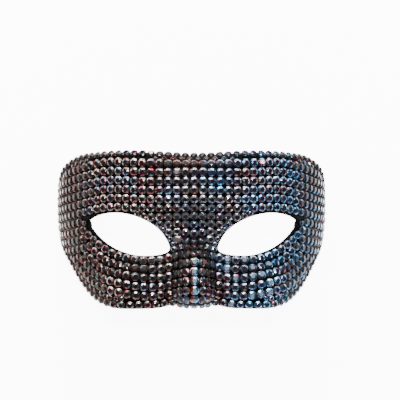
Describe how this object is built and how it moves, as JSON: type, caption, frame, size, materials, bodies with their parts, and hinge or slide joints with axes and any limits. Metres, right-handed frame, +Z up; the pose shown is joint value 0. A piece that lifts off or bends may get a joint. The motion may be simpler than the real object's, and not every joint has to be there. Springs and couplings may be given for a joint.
{
  "type": "rhinestone half mask",
  "caption": "Curved black half mask with open almond eyes and a nose bump, its outer face covered in rows of small faceted stones, lying face up.",
  "frame": {"origin": "on the table, in the middle of the mask's width and height as seen from above", "axes": "+X towards the side that is on the right when the mask is looked at from the front, +Y from the nose to the brow, +Z up, out of the face"},
  "size_m": [0.1736, 0.0908, 0.071],
  "materials": {
    "mask_black": "satin black",
    "rhinestone": "faceted, foil-backed, clear to smoky"
  },
  "bodies": {
    "root": {"mask_shell": "mask_black", "edge_stones": "rhinestone", "forehead_stones_2": "rhinestone", "forehead_stones_3": "rhinestone", "forehead_stones_4": "rhinestone", "forehead_stones_5": "rhinestone", "forehead_stones_6": "rhinestone", "forehead_stones_7": "rhinestone", "forehead_stones_8": "rhinestone", "forehead_stones_8_left": "rhinestone", "forehead_stones_8_right": "rhinestone", "forehead_stones_9_left": "rhinestone", "forehead_stones_9_right": "rhinestone", "forehead_stones_10_left": "rhinestone", "forehead_stones_10_right": "rhinestone", "forehead_stones_11_left": "rhinestone", "forehead_stones_11_right": "rhinestone", "bridge_stones_1": "rhinestone", "bridge_stones_2": "rhinestone", "bridge_stones_3": "rhinestone", "bridge_stones_4": "rhinestone", "cheek_stones_1": "rhinestone", "cheek_stones_2": "rhinestone", "cheek_stones_3": "rhinestone", "cheek_stones_4": "rhinestone", "cheek_stones_5": "rhinestone", "cheek_stones_5_left": "rhinestone", "cheek_stones_5_right": "rhinestone", "cheek_stones_6": "rhinestone"}
  },
  "joints": []
}
